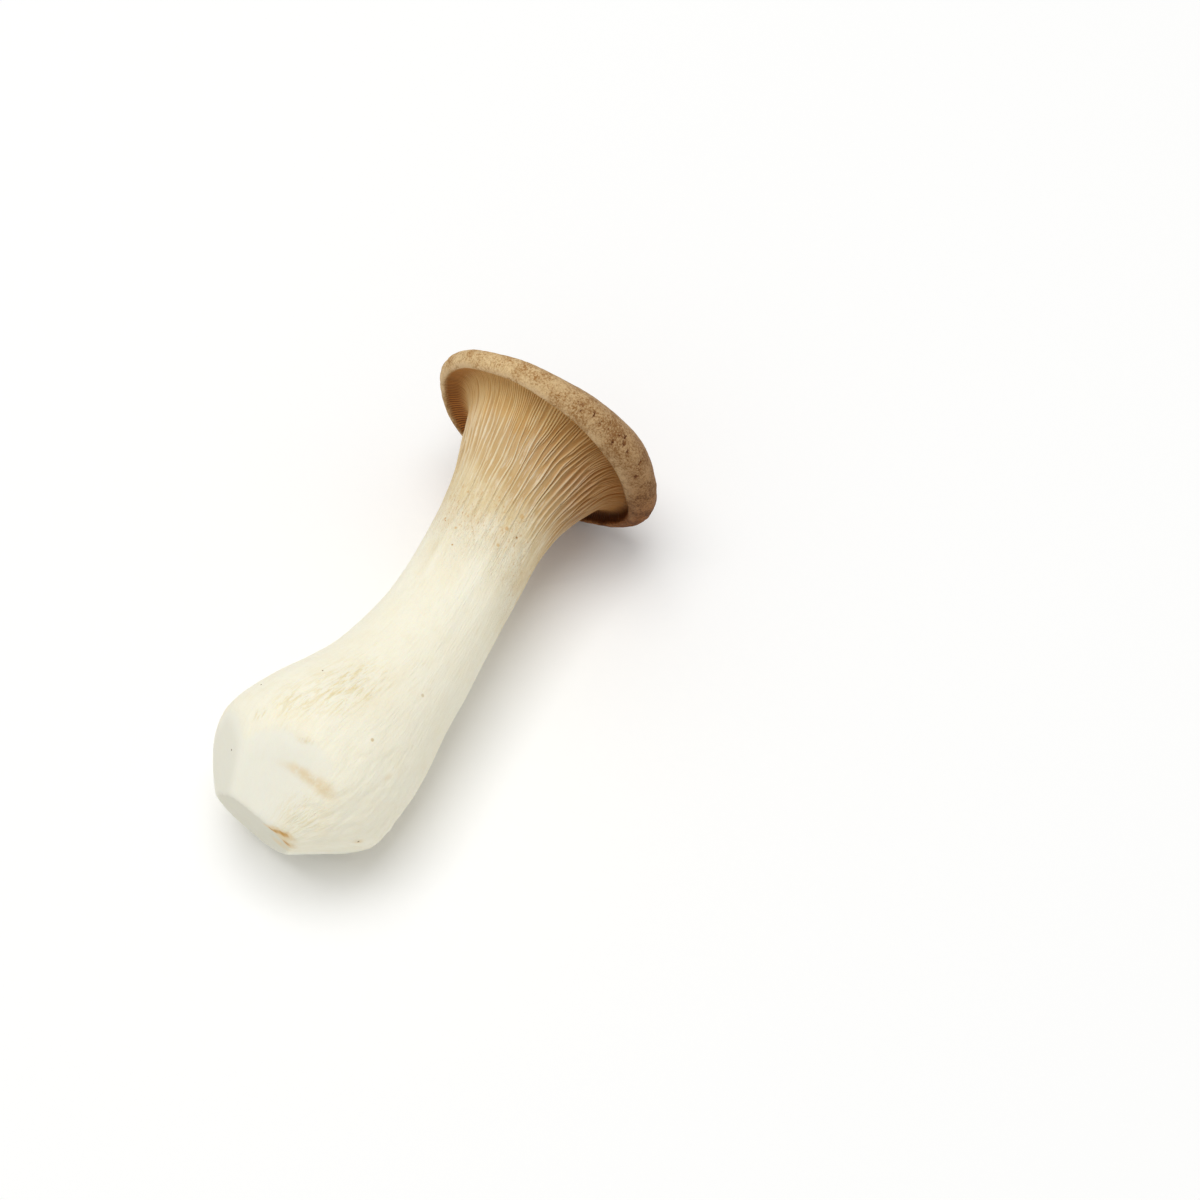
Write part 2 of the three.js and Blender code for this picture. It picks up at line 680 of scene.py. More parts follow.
    def relief(
        self, turn: Array, below: Array, radius: Array, angle: Array,
    ) -> tuple[Array, Array, Array]:
        """The gills' shape.

        Args:
            turn: Share of a full turn, before the gills stray.
            below: How far below the hollow, in mm.
            radius: The funnel's radius, in mm.
            angle: The way round the axis, in radians.

        Returns:
            How deep each place lies under the gills' edges in mm, how near it is to a
            ridge from 0 to 1, and how strong the gills are there from 0 to 1.
        """
        slot = turn * self.long_gills
        pitch = FULL_TURN * radius / self.long_gills
        thick = self.thickness * (1 + self.hills(self.swelling, turn, below))
        nearest = np.abs(slot - np.round(slot)) * pitch
        worn = 1 - self.nicks.height - self.hills(self.nicks, turn, below)
        ridge = self.ridge(nearest, thick) * worn
        number = np.floor(slot).astype(int) % self.long_gills
        shares = self.short_between + 1
        draw = np.random.default_rng(self.seed + self.short_pick)
        ends = draw.uniform(*self.short_ends, (shares, self.long_gills))
        for short in range(1, shares):
            away = np.abs(slot - np.floor(slot) - short / shares) * pitch
            alive = smooth_step(0.0, self.short_fade, ends[short][number] - below)
            small = self.ridge(away, thick * self.short_share)
            ridge = np.maximum(ridge, self.short_share * small * alive)
        ridge = np.clip(ridge + self.hills(self.scraps, turn, below), 0.0, 1.0)
        reach = self.sides.at(self.lengths, angle)
        for kind in (self.shared_ends, self.own_ends):
            reach = reach + self.hills(kind, turn, np.zeros_like(below))
        strength = np.interp(below, self.below, self.depths) / max(self.depths)
        strength = strength * (1 - smooth_step(*self.end_fade, below - reach))
        strength = strength * self.sides.at(self.vigour, angle)
        depth = max(self.depths) * strength * (1 - ridge)
        return depth, ridge, strength

    @staticmethod
    def ridge(away: Array, thick: Array) -> Array:
        """A ridge's height beside its middle.

        Args:
            away: How far off the middle, in mm.
            thick: The ridge's thickness, in mm.

        Returns:
            1 on its flat top, falling smoothly to 0 at its foot.
        """
        top, foot = 0.25, 1.5
        return 1 - smooth_step(top, foot, away / thick)


# The body.


@dataclass(frozen=True)
class Cut:
    """One knife stroke that trims the base.

    Attributes:
        side: The way the face is tipped, in degrees round the axis; 0 is +Y, 90 is up.
        slope: How far it is tipped from facing straight off the base, in degrees.
        depth: How far it passes from the middle of the trimmed end, in mm.
        rounding: How soft its edges are, in mm.
    """

    side: float
    slope: float
    depth: float
    rounding: float

    def normal(self) -> Array:
        """The way the cut face looks, on the straight axis.

        Returns:
            A direction of length 1: off the base, tipped by the slope towards the side.
        """
        side, slope = math.radians(self.side), math.radians(self.slope)
        across = math.sin(slope)
        return np.array([-math.cos(slope), across * math.cos(side), across * math.sin(side)])


class Mark(Enum):
    """What a blemish does. The first three are the mesh's stain values, in this order."""

    BROWN = 0
    YELLOW = 1
    PIT = 2
    FOLD = 3


@dataclass(frozen=True)
class Blemish:
    """A smear, a patch, a pit or a fold on the skin.

    Attributes:
        kind: What it does.
        side: Its middle's angle round the axis, in degrees; 0 is +Y, 90 is up.
        path: Its middle's distance along the outline, in mm.
        length: Its length, in mm.
        width: Its width, in mm.
        lean: How far its length is turned from the path towards rising angles, in degrees.
        strength: How strong it is in its middle, from 0 to 1.
    """

    kind: Mark
    side: float
    path: float
    length: float
    width: float
    lean: float
    strength: float

    def cover(self, angle: Array, path: Array, radius: Array) -> Array:
        """How much of it there is at each place.

        Args:
            angle: The way round the axis, in radians.
            path: Distance along the outline, in mm.
            radius: The outline's radius, in mm.

        Returns:
            The strength times a smooth fall from the middle to the edge of an ellipse.
        """
        apart = (angle - math.radians(self.side) + math.pi) % FULL_TURN - math.pi
        across, along = apart * radius, path - self.path
        cos, sin = math.cos(math.radians(self.lean)), math.sin(math.radians(self.lean))
        lengthwise = (along * cos + across * sin) / (self.length / 2)
        sideways = (across * cos - along * sin) / (self.width / 2)
        return self.strength * smooth_step(1.0, 0.0, np.hypot(lengthwise, sideways))


@dataclass
class Mushroom:
    """The whole mushroom: sizes in mm, on a straight axis until it is laid down.

    Attributes:
        outline: Half of its section.
        gills: Its gills.
        rim: How the cap's edge strays from a ring.
        sides: How the tables below are read.
        pitch: How far the axis is tipped, base up, when it lies down.
        floor_depth: How far the floor is below the axis at the trimmed end.
        floor_press: How soft the edge of a pressed flat is.
        bow_depth: How far the middle is bowed.
        bow_from: The station where the bow begins.
        bow_to: The station where the bow ends.
        bow_skew: Where the bow's top lies: 1 is half way, less is nearer the base.
        cut_centre: The place in the bulb from which the cuts are measured.
        cut_margin: How far past that place the cuts still reach.
        cut_edge: How much has to be cut away for a face to look cut.
        end_edge: The same for the last cut's crisp face.
        facet_edge: The same for the face beside it.
        facet_shade_share: How much of the last cut's greyer colour, partly painted shade, the face
            beside it takes.
        cuts: The knife's strokes. The last two are the fresher ones.
        skin_lap: How far before the lip the cap's skin starts.
        skin_soft: How soft that start is.
        hollow_shade_end: How far below the hollow its painted shade begins to fade, and where it is
            gone.
        lip_start: How far past the lip its light edge begins, and where it is full.
        lip_end: How far past the lip the light edge begins to fade, and where it is gone.
        crown_start: How far past the shoulder the crown's skin is full.
        gill_columns: The grid's columns for each long gill, where it is finest.
        base_fan: How far from the base's pole the grid is coarse.
        crown_fan: How far from the crown's pole the grid is coarse.
        bend: How much of the funnel before the hollow has its own rings.
        tan_lengths: How far the gills' tan runs down each side, in steps of 30 degrees.
        tan_ragged: How the tan's length varies.
        gill_shade_by_side: How much painted shade the gills get on each side, in steps of 30 degrees:
            most on the right-hand side and underneath, none just past the upper side.
        rim_shade_by_side: How much painted shade the cap's edge gets on each side, in the same steps:
            most on its right-hand side and underneath.
        round_radius: The radius on which the "round" mark wraps the turn.
        worn_sides: The sides between which the bulb is wrinkled, in degrees.
        worn_soft: How soft the ends of those sides are, in degrees.
        worn_least: How wrinkled the other sides are.
        worn_path: Where the wrinkles begin, and where they have faded again.
        creases: Creases run where these lumps cross zero.
        crease_width: How far from zero a crease still shows.
        crease_depth: How deep a crease is.
        wrinkles: The lumps between the creases.
        broad_lumps: Lumps all over.
        fibres: Long lumps on the stem.
        fibre_start: How far below the hollow the fibres start.
        grains: Small lumps on the cap's skin.
        grain_start: How far past the lip the grains are at full height.
        pit_depth: How deep the pits in the cap's edge are.
        fold_depth: How deep the folds are.
        blemishes: The smears, patches, pits and folds.
    """

    outline: Outline = field(default_factory=Outline)
    gills: Gills = field(default_factory=Gills)
    rim: Rim = field(default_factory=Rim)
    sides: Sides = field(default_factory=Sides)
    pitch: float = math.radians(4.5)
    floor_depth: float = 21.0
    floor_press: float = 0.3
    bow_depth: float = 5.2
    bow_from: float = 16.0
    bow_to: float = 119.0
    bow_skew: float = 0.79
    cut_centre: Triple = (27.0, 0.0, 0.0)
    cut_margin: float = 10.0
    cut_edge: Pair = (0.15, 0.7)
    end_edge: Pair = (0.1, 0.5)
    facet_edge: Pair = (0.0, 1.6)
    facet_shade_share: float = 0.55
    cuts: tuple[Cut, ...] = (
        Cut(98, 48, 8.3, 2.4),
        Cut(140, 44, 11, 4.0),
        Cut(205, 40, 7, 1.2),
        Cut(250, 42, 9, 2.5),
        Cut(300, 46, 10.4, 2.5),
        Cut(345, 52, 12.7, 2.5),
        Cut(32, 55, 11.6, 2.4),
        Cut(330, 7, 2, 0.6),
    )
    skin_lap: float = 0.6
    skin_soft: float = 0.5
    hollow_shade_end: Pair = (-1.0, 2.5)
    lip_start: Pair = (-0.6, 0.2)
    lip_end: Pair = (0.6, 2.4)
    crown_start: float = 6.0
    gill_columns: int = 18
    base_fan: float = 6.0
    crown_fan: float = 5.0
    bend: float = 3.0
    tan_lengths: tuple[float, ...] = (66, 68, 51, 58, 60, 56, 51, 50, 53, 57, 60, 63)
    tan_ragged: Hills = Hills(1.5, 30, 8, 5.0)
    round_radius: float = 10.0
    worn_sides: Pair = (108.0, 225.0)
    worn_soft: float = 20.0
    worn_least: float = 0.25
    worn_path: tuple[Pair, Pair] = ((1.0, 7.5), (44.0, 62.0))
    creases: Lumps = Lumps(51, (9.0, 4.0, 4.0), 1.0)
    crease_width: float = 0.1
    crease_depth: float = 0.18
    wrinkles: Lumps = Lumps(54, (4.5, 4.5, 4.5), 0.24, 2)
    broad_lumps: Lumps = Lumps(21, (16.0, 11.0, 11.0), 0.45, 2)
    fibres: tuple[Lumps, ...] = (
        Lumps(31, (20.0, 2.4, 2.4), 0.15), Lumps(32, (9.0, 1.2, 1.2), 0.07),
    )
    fibre_start: Pair = (24.0, 34.0)
    grains: tuple[Lumps, ...] = (
        Lumps(41, (2.6, 2.6, 2.6), 0.2), Lumps(42, (1.2, 1.2, 1.2), 0.18),
    )
    grain_start: float = 2.0
    pit_depth: float = 0.36
    fold_depth: float = 0.6
    # Painted shade on the gills round the axis, 1 darkest: the right-hand side and underneath are
    # darkened, the upper side is left light.
    gill_shade_by_side: tuple[float, ...] = (1.0, 0.92, 0.78, 0.28, 0.0, 0.15, 0.5, 0.6, 0.7, 0.8, 0.9, 1.0)
    # Painted shade on the cap's edge round the axis, 1 darkest.
    rim_shade_by_side: tuple[float, ...] = (1.0, 0.64, 0.46, 0.26, 0.0, 0.0, 0.08, 0.2, 0.5, 0.8, 0.9, 1.0)
    blemishes: tuple[Blemish, ...] = (
        Blemish(Mark.PIT, 137.6, 156.0, 3.8, 1.7, -35, 1.35),
        Blemish(Mark.PIT, 138.8, 154.6, 4.0, 1.9, -50, 1.4),
        Blemish(Mark.PIT, 134.2, 152.9, 3.6, 1.8, -30, 1.3),
        Blemish(Mark.PIT, 143.3, 153.9, 4.2, 1.6, -60, 1.3),
        Blemish(Mark.PIT, 152.5, 154.9, 3.6, 1.5, -20, 1.25),
        Blemish(Mark.PIT, 158.3, 152.7, 3.2, 2.2, -60, 1.2),
        Blemish(Mark.PIT, 119.2, 154.6, 3.8, 1.6, -30, 1.25),
        Blemish(Mark.PIT, 113.3, 153.2, 2.2, 1.4, 60, 1.2),
        Blemish(Mark.PIT, 123.5, 154.2, 2.8, 1.3, -30, 1.2),
        Blemish(Mark.PIT, 128.0, 155.6, 2.6, 1.2, -40, 1.15),
        Blemish(Mark.PIT, 133, 154.4, 20.0, 8.0, 80, 0.74),
        Blemish(Mark.PIT, 155, 153.4, 15.0, 7.0, 80, 0.68),
        Blemish(Mark.PIT, 112, 154.4, 18.0, 7.0, 80, 0.62),
        Blemish(Mark.BROWN, 111, 26.6, 25.0, 6.5, 84, 0.5),
        Blemish(Mark.BROWN, 123, 27.2, 14.0, 7.5, 84, 0.52),
        Blemish(Mark.BROWN, 120, 8.3, 9.0, 2.6, 62, 1.0),
        Blemish(Mark.BROWN, 133, 10.2, 12.0, 3.6, 62, 0.95),
        Blemish(Mark.BROWN, 152, 9.0, 10.0, 6.5, 80, 0.9),
        Blemish(Mark.BROWN, 190, 5.5, 9.0, 9.0, 0, 0.62),
        Blemish(Mark.BROWN, 150, 40.6, 6.0, 3.0, 20, 0.3),
        Blemish(Mark.BROWN, 96, 34.0, 9.0, 6.0, 80, 0.18),
        Blemish(Mark.BROWN, 176, 26.0, 6.0, 3.5, 60, 0.55),
        Blemish(Mark.BROWN, 172, 108.0, 17.0, 7.0, -20, 0.66),
        Blemish(Mark.YELLOW, 66, 35.2, 7.0, 5.5, 30, 0.9),
        Blemish(Mark.YELLOW, 98, 34.5, 6.0, 3.0, 80, 0.9),
        Blemish(Mark.YELLOW, 90, 52.0, 36.0, 24.0, 0, 1.0),
        Blemish(Mark.YELLOW, 107, 54.0, 5.0, 4.0, 0, 1.0),
        Blemish(Mark.YELLOW, 80, 42.0, 20.0, 20.0, 0, 0.8),
        Blemish(Mark.YELLOW, 130, 18.0, 24.0, 20.0, 0, 0.6),
        Blemish(Mark.FOLD, 75, 38.3, 10.0, 2.4, -13, 0.8),
        Blemish(Mark.FOLD, 76.3, 45.6, 9.0, 2.4, 16, 0.8),
        Blemish(Mark.FOLD, 125, 16.5, 12.0, 2.6, 17, 0.7),
        Blemish(Mark.FOLD, 124, 9.8, 12.0, 3.0, 60, 0.9),
        Blemish(Mark.FOLD, 150, 110.0, 11.0, 2.2, -42, 0.8),
        Blemish(Mark.FOLD, 163, 104.0, 9.0, 2.2, 10, 0.6),
    )

    def skin(self) -> Skin:
        """The grid, fine where the gills are and coarse at the poles.

        Returns:
            The grid. Its rings lie along the outline, closest where the outline bends,
            and where the number of columns changes it is a whole multiple.
        """
        base, bulb, gill_end, funnel, hollow, lip, _, shoulder, crown = self.outline.marks.values()
        fine = self.gills.long_gills * self.gill_columns
        tip, end = self.base_fan, crown - self.crown_fan
        rim, middle = lip - self.skin_lap, (shoulder + crown) / 2
        bands = (
            Band(base + tip / 4, tip, 4, fine // 12),
            Band(tip, bulb, 62, fine // 4),
            Band(bulb, gill_end, 24, fine // 4),
            Band(gill_end, funnel, 24, fine // 2),
            Band(funnel, hollow - self.bend, 14, fine),
            Band(hollow - self.bend, rim, 11, fine),
            Band(rim, shoulder, 28, fine // 3),
            Band(shoulder, middle, 16, fine // 3),
            Band(middle, end, 10, fine // 6),
            Band(end, crown - self.crown_fan / 4, 4, fine // 12),
        )
        return Skin(bands, crown)

    def edge_moves(self, path: Array, angle: Array) -> tuple[Array, Array]:
        """How far the cap's edge strays from a true ring.

        Args:
            path: Distances along the outline.
            angle: The way round the axis, in radians.

        Returns:
            Moves towards the crown and inwards, in mm. The first pass from the lip's
            table to the shoulder's, and fade down the funnel and up to the crown.
        """
        mark, rim = self.outline.marks, self.rim
        hollow, lip = mark[Landmark.HOLLOW], mark[Landmark.LIP]
        shoulder, crown = mark[Landmark.SHOULDER], mark[Landmark.CROWN]
        upwards = smooth_step(lip, shoulder, path)
        rise = self.sides.at(rim.lip_rise, angle) * (1 - upwards)
        rise = rise + self.sides.at(rim.shoulder_rise, angle) * upwards
        for number, start, height in rim.waves:
            rise = rise + height * np.sin(number * angle + start)
        fade = rim.crown_share + (1 - rim.crown_share) * smooth_step(crown, shoulder, path)
        rise = rise * fade * smooth_step(hollow - rim.slack, hollow, path)
        rolled = smooth_step(hollow - rim.roll_start, lip, path)
        rolled = rolled * smooth_step(mark[Landmark.WIDEST], lip, path)
        out = smooth_step(hollow, lip, path) * smooth_step(crown, shoulder, path)
        inwards = self.sides.at(rim.lip_roll, angle) * rolled - self.sides.at(rim.spread, angle) * out
        return rise, inwards

    def bow(self, station: Array) -> Array:
        """How far the middle lies to the -Y side at a station.

        Args:
            station: Distances from the trimmed end, in mm.

        Returns:
            The depth times the squared sine of a half turn, which is skewed so that
            the hump's top lies nearer the base.
        """
        share = np.clip((station - self.bow_from) / (self.bow_to - self.bow_from), 0, 1)
        return self.bow_depth * np.sin(math.pi * share**self.bow_skew) ** 2

    def trimmed(self, places: Array) -> tuple[Array, dict[str, Array]]:
        """The base after the knife.

        Every point is drawn towards the bulb's middle until it is behind each cut: the
        distance from the middle is the least of the point's own and of those at which
        its ray meets the cuts.

        Args:
            places: n rows of x, y, z on the straight axis.

        Returns:
            The places after the cuts, and marks of where the knife went: "cut" on all
            its faces and "end" on the last two, fresher ones.
        """
        centre = np.array(self.cut_centre)
        ray = places - centre
        distance = np.linalg.norm(ray, axis=1)
        ray = ray / distance[:, None]
        kept = distance.copy()
        glancing, far = 0.05, 1000.0
        before = []
        for cut in self.cuts:
            facing = ray @ cut.normal()
            room = cut.depth - centre @ cut.normal()
            reach = np.where(facing > glancing, room / np.maximum(facing, glancing), far)
            before.append(kept)
            kept = soft_least(kept, reach, cut.rounding)
        near_base = places[:, 0] < centre[0] + self.cut_margin
        crisp, soft = (np.where(near_base, stage - kept, 0.0) for stage in (before[-1], before[-2]))
        # The face beside the last cut takes part of the end colour, which is partly painted shade.
        facet = self.facet_shade_share * smooth_step(*self.facet_edge, soft)
        kept = np.where(near_base, kept, distance)
        marks = {
            "cut": smooth_step(*self.cut_edge, distance - kept),
            # The "end" mark carries the last cuts' greyer colour, partly painted shade.
            "end": np.maximum(smooth_step(*self.end_edge, crisp), facet),
        }
        return centre + ray * kept[:, None], marks

    def wrinkled(self, places: Array, worn: Array) -> Array:
        """The bulb with its wrinkles.

        Args:
            places: n rows of x, y, z on the straight axis, after the cuts.
            worn: How wrinkled each place is, from 0 to 1.

        Returns:
            The places drawn in along creases, which run where a noise crosses zero, and
            moved by small lumps.
        """
        ray = places - np.array(self.cut_centre)
        ray = ray / np.linalg.norm(ray, axis=1)[:, None]
        crease = np.exp(-((self.creases.at(places) / self.crease_width) ** 2))
        move = worn * (self.wrinkles.at(places) - self.crease_depth * crease)
        return places + ray * move[:, None]

    def worn(self, path: Array, angle: Array) -> Array:
        """How wrinkled the bulb is: a little all round, most beside the big cut, not at the pole.

        Args:
            path: Distances along the outline.
            angle: The way round the axis, in radians.

        Returns:
            Values from 0 to 1.
        """
        low, high = self.worn_sides
        start, end = self.worn_path
        side = np.degrees(angle)
        beside = smooth_step(low, low + self.worn_soft, side)
        beside = beside * (1 - smooth_step(high - self.worn_soft, high, side))
        share = self.worn_least + (1 - self.worn_least) * beside
        return share * (1 - smooth_step(*end, path)) * smooth_step(*start, path)

    def texture(self, path: Array, places: Array) -> Array:
        """The small lumps of the surface.

        Args:
            path: Distances along the outline.
            places: n rows of x, y, z on the straight axis.

        Returns:
            Moves away from the axis, in mm: broad lumps all over, long fibres on the
            stem and grains on the cap's skin.
        """
        hollow, lip = self.outline.marks[Landmark.HOLLOW], self.outline.marks[Landmark.LIP]
        fibres = sum(kind.at(places) for kind in self.fibres)
        grains = sum(kind.at(places) for kind in self.grains)
        on_stem = smooth_step(*self.fibre_start, hollow - path)
        on_cap = smooth_step(lip, lip + self.grain_start, path)
        return self.broad_lumps.at(places) + fibres * on_stem + grains * on_cap

    def grown(self, path: Array, turn: Array) -> tuple[Array, dict[str, Array]]:
        """The mushroom on its bowed axis, untrimmed.

        Args:
            path: Distances along the outline.
            turn: Shares of a full turn, from the side that lies on the table.

        Returns:
            n rows of x, y, z, and the marks that the finishes read.
        """
        mark = self.outline.marks
        station, radius, along, away = self.outline.at(path)
        below = mark[Landmark.HOLLOW] - path
        angle = FULL_TURN * (turn + self.gills.drift(turn, below) - 0.25)
        depth, ridge, strength = self.gills.relief(turn, below, radius, angle)
        rise, roll = self.edge_moves(path, angle)
        blemish = np.zeros((len(path), len(Mark)))
        for spot in self.blemishes:
            one = blemish[:, spot.kind.value]
            np.maximum(one, spot.cover(angle, path, radius), out=one)
        depth = depth + self.pit_depth * blemish[:, Mark.PIT.value]
        depth = depth + self.fold_depth * blemish[:, Mark.FOLD.value]
        heading = np.column_stack([np.zeros_like(angle), np.cos(angle), np.sin(angle)])
        places = heading * (radius - away * depth - roll)[:, None]
        places[:, 0] = station - along * depth + rise
        places = places + heading * self.texture(path, places)[:, None]
        places[:, 1] -= self.bow(station)
        tan_reach = self.sides.at(self.tan_lengths, angle)
        tan_reach = tan_reach + self.gills.hills(self.tan_ragged, turn, below)
        straight = FULL_TURN * (turn - 0.25)
        wrapped = np.column_stack([np.cos(straight), np.sin(straight)]) * self.round_radius
        past_lip, top = path - mark[Landmark.LIP], mark[Landmark.SHOULDER] + self.crown_start
        marks = {
            "ridge": ridge,
            "gills": strength,
            "fade": np.clip(below / tan_reach, 0.0, 1.0),
            # Painted shade in the hollow behind the lip.
            "hollow": 1 - smooth_step(*self.hollow_shade_end, below),
            "skin": smooth_step(-self.skin_soft, self.skin_soft, past_lip + self.skin_lap),
            "lip": smooth_step(*self.lip_start, past_lip) * (1 - smooth_step(*self.lip_end, past_lip)),
            "crown": smooth_step(mark[Landmark.WIDEST], top, path),
            # Painted shade: the gills darker on their right-hand and under sides.
            "shade": self.sides.at(self.gill_shade_by_side, angle),
            # Painted shade on the cap's edge: darker on its right-hand and under sides.
            "rim_shade": self.sides.at(self.rim_shade_by_side, angle),
            "stain": blemish[:, : Mark.FOLD.value],
            "worn": self.worn(path, angle),
            "round": np.column_stack([wrapped, path]),
        }
        return places, marks

    def laid_down(self, places: Array) -> Array:
        """Turns the mushroom onto its side and sets it on the floor.

        Args:
            places: n rows of x, y, z in mm, on the straight axis.

        Returns:
            n rows in metres. The part that would sink into the floor is pressed flat.
        """
        cos, sin = math.cos(self.pitch), math.sin(self.pitch)
        x, y, z = places.T
        world = np.column_stack([x * cos - z * sin, y, x * sin + z * cos + self.floor_depth])
        world[:, 2] = -soft_least(-world[:, 2], np.zeros(len(world)), self.floor_press)
        return world * MILLIMETRE

    def build(self) -> bpy.types.Object:
        """Makes the mushroom's object, with its middle over the frame's origin.

        Returns:
            The object, which has no material yet.
        """
        skin = self.skin()
        places, marks = self.grown(skin.path, skin.turn)
        places, knife = self.trimmed(places)
        places = self.wrinkled(places, marks["worn"])
        marks = {**marks, **knife}
        mesh = skin.mesh("king_oyster", self.in_frame(places), marks)
        piece = bpy.data.objects.new("king_oyster", mesh)
        bpy.context.scene.collection.objects.link(piece)
        log.info("king_oyster: %d triangles", 2 * len(skin.quads) + len(skin.triangles))
        return piece

    def in_frame(self, places: Array) -> Array:
        """Places on the straight axis, in mm, as places in the frame, in metres.

        Args:
            places: n rows of x, y, z.

        Returns:
            n rows. The far side of the plain outline's underside lies on the far face of
            the CAD box, and the axis over the box's middle.
        """
        low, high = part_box(NODE)
        zeros = np.zeros_like(self.outline.station)
        underside = np.column_stack([self.outline.station, zeros, -self.outline.radius])
        far = self.laid_down(underside)[:, 0].max()
        shift = np.array([high[0] - far, (low[1] + high[1]) / 2, 0.0])
        return self.laid_down(places) + shift

    def on_skin(self, side: float, path: float) -> Vector:
        """One place on the finished skin.

        Args:
            side: Its angle round the axis before the gills stray, in degrees from +Y.
            path: Its distance along the outline, in mm.

        Returns:
            The place in the frame, in metres.
        """
        turn = np.array([(side / 360.0 + 0.25) % 1.0])
        places, marks = self.grown(np.array([path]), turn)
        places, _ = self.trimmed(places)
        places = self.wrinkled(places, marks["worn"])
        return Vector(self.in_frame(places)[0].tolist())


# The finishes.


@dataclass(frozen=True)
class Cloud:
    """Cloudy noise from 0 to 1, for a colour or a relief.

    Attributes:
        scale: Clouds per metre, or per unit of the "round" mark.
        detail: How many finer layers it has.
        roughness: How strong each finer layer is.
        distortion: How far the clouds are stirred.
        along: How much the "round" mark's path is shortened for it. At 0 the noise reads
            the object's own coordinates instead.
        shows: The noise's values where it begins to show and where it shows fully.
        share: How strongly it shows there.
    """

    scale: float
    detail: float = 3.0
    roughness: float = 0.55
    distortion: float = 0.0
    along: float = 0.0
    shows: Pair = (0.0, 1.0)
    share: float = 1.0


class Graph:
    """A material's nodes, made one call at a time."""

    def __init__(self, name: str) -> None:
        """Starts a material with one Principled shader.

        Args:
            name: The material's name.
        """
        self.material = bpy.data.materials.new(name)
        self.material.use_nodes = True
        self.tree = self.material.node_tree
        self.shader = self.tree.nodes["Principled BSDF"]

    def node(self, kind: str, inputs: dict, **settings: object) -> bpy.types.Node:
        """Adds a node.

        Args:
            kind: The node's type, without "ShaderNode".
            inputs: Each input's name or number, and its value or the socket that feeds it.
            **settings: The node's own settings.

        Returns:
            The node.
        """
        made = self.tree.nodes.new("ShaderNode" + kind)
        for key, value in settings.items():
            setattr(made, key, value)
        for key, value in inputs.items():
            if isinstance(value, Socket):
                self.tree.links.new(value, made.inputs[key])
            else:
                made.inputs[key].default_value = value
        return made

    def mark(self, name: str) -> Socket:
        """A named value that the mesh stores, as a number."""
        return self.node("Attribute", {}, attribute_name=name).outputs["Fac"]

    def marks(self, name: str) -> Sequence[Socket]:
        """A named row of three values that the mesh stores."""
        vector = self.node("Attribute", {}, attribute_name=name).outputs["Vector"]
        return self.node("SeparateXYZ", {"Vector": vector}).outputs

    def round_place(self, along: float) -> Socket:
        """Places that follow the skin: round the axis, and along the outline shortened."""
        source = self.node("Attribute", {}, attribute_name="round").outputs["Vector"]
        return self.node("Mapping", {"Vector": source, "Scale": (1, 1, along)}).outputs["Vector"]

    def place(self) -> Socket:
        """The object's own coordinates, in metres."""
        return self.node("TexCoord", {}).outputs["Object"]

    def cloud(self, cloud: Cloud) -> Socket:
        """Noise where the skin's own places or the object's coordinates put it.

        Args:
            cloud: What the noise is like.

        Returns:
            The noise, from 0 to 1.
        """
        inputs = {
            "Vector": self.round_place(cloud.along) if cloud.along else self.place(),
            "Scale": cloud.scale, "Detail": cloud.detail,
            "Roughness": cloud.roughness, "Distortion": cloud.distortion,
        }
        return self.node("TexNoise", inputs).outputs["Fac"]

    def shown(self, cloud: Cloud, noise: Socket | None = None) -> Socket:
        """How much of a cloud shows.

        Args:
            cloud: What the noise is like.
            noise: Its noise, where that is already made.

        Returns:
            From 0 up to the cloud's share.
        """
        noise = noise or self.cloud(cloud)
        return self.times(self.between(noise, *cloud.shows), cloud.share)

    def between(self, value: Socket, low: float, high: float) -> Socket:
        """Rises smoothly from 0 at low to 1 at high, or falls if high is below low.

        Args:
            value: The value that it reads.
            low: Where the result leaves 0.
            high: Where the result reaches 1.

        Returns:
            3t^2 - 2t^3, where t is the share of the way from low to high.
        """
        first, second = (0.0, 1.0) if low < high else (1.0, 0.0)
        inputs = {
            "Value": value, "From Min": min(low, high), "From Max": max(low, high),
            "To Min": first, "To Max": second,
        }
        return self.node("MapRange", inputs, interpolation_type="SMOOTHSTEP").outputs["Result"]

    def maths(self, operation: str, values: Sequence[object]) -> Socket:
        """Values joined by one operation, from the first to the last.

        Args:
            operation: The operation's name.
            values: Numbers and sockets, at least two.

        Returns:
            The result.
        """
        def joined(first: object, second: object) -> Socket:
            """Two values joined."""
            return self.node("Math", {0: first, 1: second}, operation=operation).outputs[0]
        return reduce(joined, values)

    def times(self, *values: object) -> Socket:
        """The product of values."""
        return self.maths("MULTIPLY", values)

    def plus(self, *values: object) -> Socket:
        """The sum of values."""
        return self.maths("ADD", values)

    def without(self, value: Socket) -> Socket:
        """One less a value."""
        return self.maths("SUBTRACT", (1.0, value))

    def mix(self, share: object, first: object, second: object) -> Socket:
        """A colour between two colours, each a socket or a screen colour."""
        inputs = {0: share, 6: self.colour(first), 7: self.colour(second)}
        return self.node("Mix", inputs, data_type="RGBA").outputs[2]

    @staticmethod
    def colour(given: object) -> object:
        """A colour as a node takes it: a socket as it is, a screen colour made linear."""
        return given if isinstance(given, Socket) else linear_colour(given)

    def ramp(self, value: Socket, stops: Sequence[tuple[float, Triple]]) -> Socket:
        """A colour that changes with a value.

        Args:
            value: The value, from 0 to 1.
            stops: Values and the screen colours there.

        Returns:
            The colour.
        """
        made = self.node("ValToRGB", {"Fac": value})
        elements = made.color_ramp.elements
        for at, _ in stops[2:]:
            elements.new(at)
        for element, (at, colour) in zip(elements, stops):
            element.position = at
            element.color = linear_colour(colour)
        return made.outputs["Color"]

